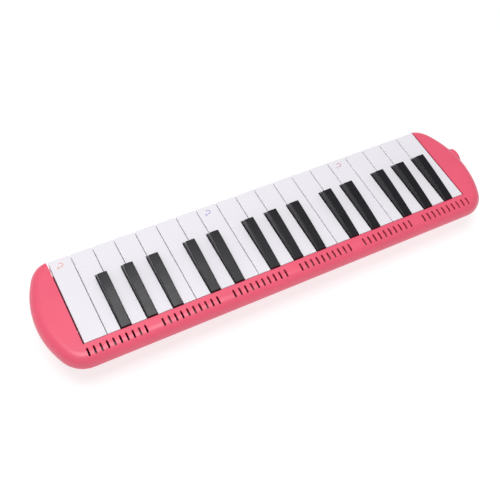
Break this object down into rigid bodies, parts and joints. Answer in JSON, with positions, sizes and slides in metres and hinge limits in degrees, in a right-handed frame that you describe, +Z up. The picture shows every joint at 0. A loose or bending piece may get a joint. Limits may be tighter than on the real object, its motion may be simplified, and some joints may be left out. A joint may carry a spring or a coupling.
{
  "type": "melodica",
  "caption": "Keyboard wind instrument with a rounded plastic case, slotted rear rail, sprung white and black keys that open reed valves, and a mouthpiece socket at the bass end.",
  "frame": {"origin": "middle of the flat base, on the surface it rests on", "axes": "+X to the player's right (treble end), -Y towards the player (key fronts), +Z up"},
  "size_m": [0.4248, 0.1022, 0.0469],
  "materials": {
    "case_pink": "satin",
    "white_plastic": "gloss",
    "black_plastic": "satin",
    "inner_plastic": "matte",
    "socket_plastic": "satin",
    "reed_brass": "satin",
    "steel": "satin",
    "rubber": "matte",
    "felt": "matte"
  },
  "bodies": {
    "case": {"upper_case": "case_pink", "lower_case": "case_pink", "cell_block": "inner_plastic", "wind_tray": "inner_plastic", "tray_gasket": "rubber", "reed_plate_low": "reed_brass", "reed_plate_high": "reed_brass", "reeds_low": "reed_brass", "reeds_high": "reed_brass", "reed_plate_screws": "steel", "tray_screws": "steel", "block_screws": "steel", "case_screws": "steel", "pivot_shaft": "steel", "shaft_clips": "steel", "key_springs": "steel", "white_stop_felt": "felt", "black_stop_felt": "felt", "mouthpiece_socket": "socket_plastic", "socket_seal": "rubber", "drain_spring": "steel"},
    "key_f3": {"white_key_f3": "white_plastic"},
    "key_fs3": {"black_key_fs3": "black_plastic"},
    "key_g3": {"white_key_g3": "white_plastic"},
    "key_gs3": {"black_key_gs3": "black_plastic"},
    "key_a3": {"white_key_a3": "white_plastic"},
    "key_as3": {"black_key_as3": "black_plastic"},
    "key_b3": {"white_key_b3": "white_plastic"},
    "key_c4": {"white_key_c4": "white_plastic"},
    "key_cs4": {"black_key_cs4": "black_plastic"},
    "key_d4": {"white_key_d4": "white_plastic"},
    "key_ds4": {"black_key_ds4": "black_plastic"},
    "key_e4": {"white_key_e4": "white_plastic"},
    "key_f4": {"white_key_f4": "white_plastic"},
    "key_fs4": {"black_key_fs4": "black_plastic"},
    "key_g4": {"white_key_g4": "white_plastic"},
    "key_gs4": {"black_key_gs4": "black_plastic"},
    "key_a4": {"white_key_a4": "white_plastic"},
    "key_as4": {"black_key_as4": "black_plastic"},
    "key_b4": {"white_key_b4": "white_plastic"},
    "key_c5": {"white_key_c5": "white_plastic"},
    "key_cs5": {"black_key_cs5": "black_plastic"},
    "key_d5": {"white_key_d5": "white_plastic"},
    "key_ds5": {"black_key_ds5": "black_plastic"},
    "key_e5": {"white_key_e5": "white_plastic"},
    "key_f5": {"white_key_f5": "white_plastic"},
    "key_fs5": {"black_key_fs5": "black_plastic"},
    "key_g5": {"white_key_g5": "white_plastic"},
    "key_gs5": {"black_key_gs5": "black_plastic"},
    "key_a5": {"white_key_a5": "white_plastic"},
    "key_as5": {"black_key_as5": "black_plastic"},
    "key_b5": {"white_key_b5": "white_plastic"},
    "key_c6": {"white_key_c6": "white_plastic"},
    "drain_valve": {"drain_button": "socket_plastic", "drain_seal": "rubber"}
  },
  "joints": [
    {"name": "key_f3_press", "type": "hinge", "parent": "case", "child": "key_f3", "pos_m": [-0.17765, 0.017, 0.027], "axis": [1, 0, 0], "range_deg": [0, 4.5], "stiffness_Nm_per_rad": 0.1, "springref_deg": -20.05, "deforming": ["key_springs"]},
    {"name": "key_fs3_press", "type": "hinge", "parent": "case", "child": "key_fs3", "pos_m": [-0.16735, 0.017, 0.027], "axis": [1, 0, 0], "range_deg": [0, 4.5], "stiffness_Nm_per_rad": 0.1, "springref_deg": -20.05, "deforming": ["key_springs"]},
    {"name": "key_g3_press", "type": "hinge", "parent": "case", "child": "key_g3", "pos_m": [-0.15605, 0.017, 0.027], "axis": [1, 0, 0], "range_deg": [0, 4.5], "stiffness_Nm_per_rad": 0.1, "springref_deg": -20.05, "deforming": ["key_springs"]},
    {"name": "key_gs3_press", "type": "hinge", "parent": "case", "child": "key_gs3", "pos_m": [-0.14475, 0.017, 0.027], "axis": [1, 0, 0], "range_deg": [0, 4.5], "stiffness_Nm_per_rad": 0.1, "springref_deg": -20.05, "deforming": ["key_springs"]},
    {"name": "key_a3_press", "type": "hinge", "parent": "case", "child": "key_a3", "pos_m": [-0.13345, 0.017, 0.027], "axis": [1, 0, 0], "range_deg": [0, 4.5], "stiffness_Nm_per_rad": 0.1, "springref_deg": -20.05, "deforming": ["key_springs"]},
    {"name": "key_as3_press", "type": "hinge", "parent": "case", "child": "key_as3", "pos_m": [-0.12215, 0.017, 0.027], "axis": [1, 0, 0], "range_deg": [0, 4.5], "stiffness_Nm_per_rad": 0.1, "springref_deg": -20.05, "deforming": ["key_springs"]},
    {"name": "key_b3_press", "type": "hinge", "parent": "case", "child": "key_b3", "pos_m": [-0.11185, 0.017, 0.027], "axis": [1, 0, 0], "range_deg": [0, 4.5], "stiffness_Nm_per_rad": 0.1, "springref_deg": -20.05, "deforming": ["key_springs"]},
    {"name": "key_c4_press", "type": "hinge", "parent": "case", "child": "key_c4", "pos_m": [-0.09955, 0.017, 0.027], "axis": [1, 0, 0], "range_deg": [0, 4.5], "stiffness_Nm_per_rad": 0.1, "springref_deg": -20.05, "deforming": ["key_springs"]},
    {"name": "key_cs4_press", "type": "hinge", "parent": "case", "child": "key_cs4", "pos_m": [-0.08835, 0.017, 0.027], "axis": [1, 0, 0], "range_deg": [0, 4.5], "stiffness_Nm_per_rad": 0.1, "springref_deg": -20.05, "deforming": ["key_springs"]},
    {"name": "key_d4_press", "type": "hinge", "parent": "case", "child": "key_d4", "pos_m": [-0.0772, 0.017, 0.027], "axis": [1, 0, 0], "range_deg": [0, 4.5], "stiffness_Nm_per_rad": 0.1, "springref_deg": -20.05, "deforming": ["key_springs"]},
    {"name": "key_ds4_press", "type": "hinge", "parent": "case", "child": "key_ds4", "pos_m": [-0.06605, 0.017, 0.027], "axis": [1, 0, 0], "range_deg": [0, 4.5], "stiffness_Nm_per_rad": 0.1, "springref_deg": -20.05, "deforming": ["key_springs"]},
    {"name": "key_e4_press", "type": "hinge", "parent": "case", "child": "key_e4", "pos_m": [-0.05485, 0.017, 0.027], "axis": [1, 0, 0], "range_deg": [0, 4.5], "stiffness_Nm_per_rad": 0.1, "springref_deg": -20.05, "deforming": ["key_springs"]},
    {"name": "key_f4_press", "type": "hinge", "parent": "case", "child": "key_f4", "pos_m": [-0.04255, 0.017, 0.027], "axis": [1, 0, 0], "range_deg": [0, 4.5], "stiffness_Nm_per_rad": 0.1, "springref_deg": -20.05, "deforming": ["key_springs"]},
    {"name": "key_fs4_press", "type": "hinge", "parent": "case", "child": "key_fs4", "pos_m": [-0.03225, 0.017, 0.027], "axis": [1, 0, 0], "range_deg": [0, 4.5], "stiffness_Nm_per_rad": 0.1, "springref_deg": -20.05, "deforming": ["key_springs"]},
    {"name": "key_g4_press", "type": "hinge", "parent": "case", "child": "key_g4", "pos_m": [-0.02095, 0.017, 0.027], "axis": [1, 0, 0], "range_deg": [0, 4.5], "stiffness_Nm_per_rad": 0.1, "springref_deg": -20.05, "deforming": ["key_springs"]},
    {"name": "key_gs4_press", "type": "hinge", "parent": "case", "child": "key_gs4", "pos_m": [-0.00965, 0.017, 0.027], "axis": [1, 0, 0], "range_deg": [0, 4.5], "stiffness_Nm_per_rad": 0.1, "springref_deg": -20.05, "deforming": ["key_springs"]},
    {"name": "key_a4_press", "type": "hinge", "parent": "case", "child": "key_a4", "pos_m": [0.00165, 0.017, 0.027], "axis": [1, 0, 0], "range_deg": [0, 4.5], "stiffness_Nm_per_rad": 0.1, "springref_deg": -20.05, "deforming": ["key_springs"]},
    {"name": "key_as4_press", "type": "hinge", "parent": "case", "child": "key_as4", "pos_m": [0.01295, 0.017, 0.027], "axis": [1, 0, 0], "range_deg": [0, 4.5], "stiffness_Nm_per_rad": 0.1, "springref_deg": -20.05, "deforming": ["key_springs"]},
    {"name": "key_b4_press", "type": "hinge", "parent": "case", "child": "key_b4", "pos_m": [0.02325, 0.017, 0.027], "axis": [1, 0, 0], "range_deg": [0, 4.5], "stiffness_Nm_per_rad": 0.1, "springref_deg": -20.05, "deforming": ["key_springs"]},
    {"name": "key_c5_press", "type": "hinge", "parent": "case", "child": "key_c5", "pos_m": [0.03555, 0.017, 0.027], "axis": [1, 0, 0], "range_deg": [0, 4.5], "stiffness_Nm_per_rad": 0.1, "springref_deg": -20.05, "deforming": ["key_springs"]},
    {"name": "key_cs5_press", "type": "hinge", "parent": "case", "child": "key_cs5", "pos_m": [0.04675, 0.017, 0.027], "axis": [1, 0, 0], "range_deg": [0, 4.5], "stiffness_Nm_per_rad": 0.1, "springref_deg": -20.05, "deforming": ["key_springs"]},
    {"name": "key_d5_press", "type": "hinge", "parent": "case", "child": "key_d5", "pos_m": [0.0579, 0.017, 0.027], "axis": [1, 0, 0], "range_deg": [0, 4.5], "stiffness_Nm_per_rad": 0.1, "springref_deg": -20.05, "deforming": ["key_springs"]},
    {"name": "key_ds5_press", "type": "hinge", "parent": "case", "child": "key_ds5", "pos_m": [0.06905, 0.017, 0.027], "axis": [1, 0, 0], "range_deg": [0, 4.5], "stiffness_Nm_per_rad": 0.1, "springref_deg": -20.05, "deforming": ["key_springs"]},
    {"name": "key_e5_press", "type": "hinge", "parent": "case", "child": "key_e5", "pos_m": [0.08025, 0.017, 0.027], "axis": [1, 0, 0], "range_deg": [0, 4.5], "stiffness_Nm_per_rad": 0.1, "springref_deg": -20.05, "deforming": ["key_springs"]},
    {"name": "key_f5_press", "type": "hinge", "parent": "case", "child": "key_f5", "pos_m": [0.09255, 0.017, 0.027], "axis": [1, 0, 0], "range_deg": [0, 4.5], "stiffness_Nm_per_rad": 0.1, "springref_deg": -20.05, "deforming": ["key_springs"]},
    {"name": "key_fs5_press", "type": "hinge", "parent": "case", "child": "key_fs5", "pos_m": [0.10285, 0.017, 0.027], "axis": [1, 0, 0], "range_deg": [0, 4.5], "stiffness_Nm_per_rad": 0.1, "springref_deg": -20.05, "deforming": ["key_springs"]},
    {"name": "key_g5_press", "type": "hinge", "parent": "case", "child": "key_g5", "pos_m": [0.11415, 0.017, 0.027], "axis": [1, 0, 0], "range_deg": [0, 4.5], "stiffness_Nm_per_rad": 0.1, "springref_deg": -20.05, "deforming": ["key_springs"]},
    {"name": "key_gs5_press", "type": "hinge", "parent": "case", "child": "key_gs5", "pos_m": [0.12545, 0.017, 0.027], "axis": [1, 0, 0], "range_deg": [0, 4.5], "stiffness_Nm_per_rad": 0.1, "springref_deg": -20.05, "deforming": ["key_springs"]},
    {"name": "key_a5_press", "type": "hinge", "parent": "case", "child": "key_a5", "pos_m": [0.13675, 0.017, 0.027], "axis": [1, 0, 0], "range_deg": [0, 4.5], "stiffness_Nm_per_rad": 0.1, "springref_deg": -20.05, "deforming": ["key_springs"]},
    {"name": "key_as5_press", "type": "hinge", "parent": "case", "child": "key_as5", "pos_m": [0.14805, 0.017, 0.027], "axis": [1, 0, 0], "range_deg": [0, 4.5], "stiffness_Nm_per_rad": 0.1, "springref_deg": -20.05, "deforming": ["key_springs"]},
    {"name": "key_b5_press", "type": "hinge", "parent": "case", "child": "key_b5", "pos_m": [0.15835, 0.017, 0.027], "axis": [1, 0, 0], "range_deg": [0, 4.5], "stiffness_Nm_per_rad": 0.1, "springref_deg": -20.05, "deforming": ["key_springs"]},
    {"name": "key_c6_press", "type": "hinge", "parent": "case", "child": "key_c6", "pos_m": [0.1737, 0.017, 0.027], "axis": [1, 0, 0], "range_deg": [0, 4.5], "stiffness_Nm_per_rad": 0.1, "springref_deg": -20.05, "deforming": ["key_springs"]},
    {"name": "drain_valve_push", "type": "slide", "parent": "case", "child": "drain_valve", "axis": [-1, 0, 0], "range_m": [0, 0.0025], "stiffness_N_per_m": 200, "springref_m": -0.005, "deforming": ["drain_spring"]}
  ]
}
